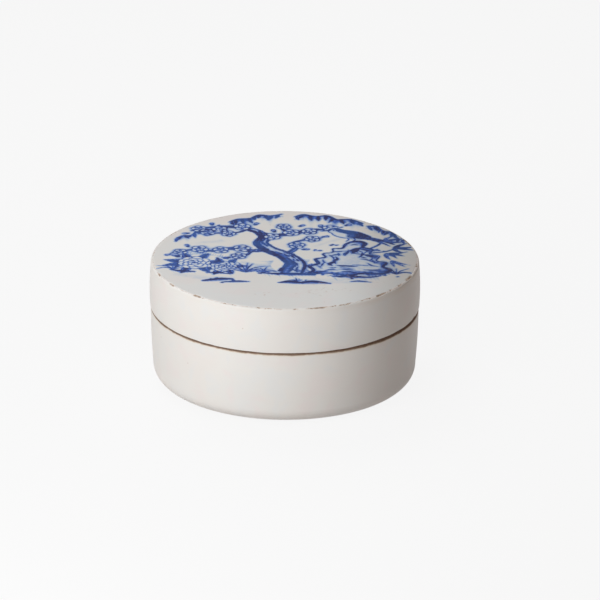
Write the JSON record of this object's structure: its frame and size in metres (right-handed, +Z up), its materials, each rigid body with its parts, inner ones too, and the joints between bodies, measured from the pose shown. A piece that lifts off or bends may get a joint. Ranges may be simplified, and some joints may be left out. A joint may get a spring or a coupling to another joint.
{
  "type": "seal paste box",
  "caption": "Round flat porcelain box that holds vermilion seal paste, with a cover that lifts straight off an inner flange.",
  "frame": {"origin": "on the surface the box stands on, at the middle of its foot ring", "axes": "+Z up along the axis of the round box, the way the cover lifts; -Y is the side that the picture shows in front"},
  "size_m": [0.09, 0.09, 0.0424],
  "materials": {
    "porcelain_base": "clear gloss glaze, unglazed rim and foot",
    "porcelain_cover": "clear gloss glaze over blue painting, unglazed rim",
    "paste": "oily, kneaded and fibrous"
  },
  "bodies": {
    "box": {"box_base": "porcelain_base", "seal_paste": "paste"},
    "lid": {"cover": "porcelain_cover"}
  },
  "joints": [
    {"name": "cover_lift", "type": "slide", "parent": "box", "child": "lid", "axis": [0, 0, 1], "range_m": [0, 0.06]}
  ]
}
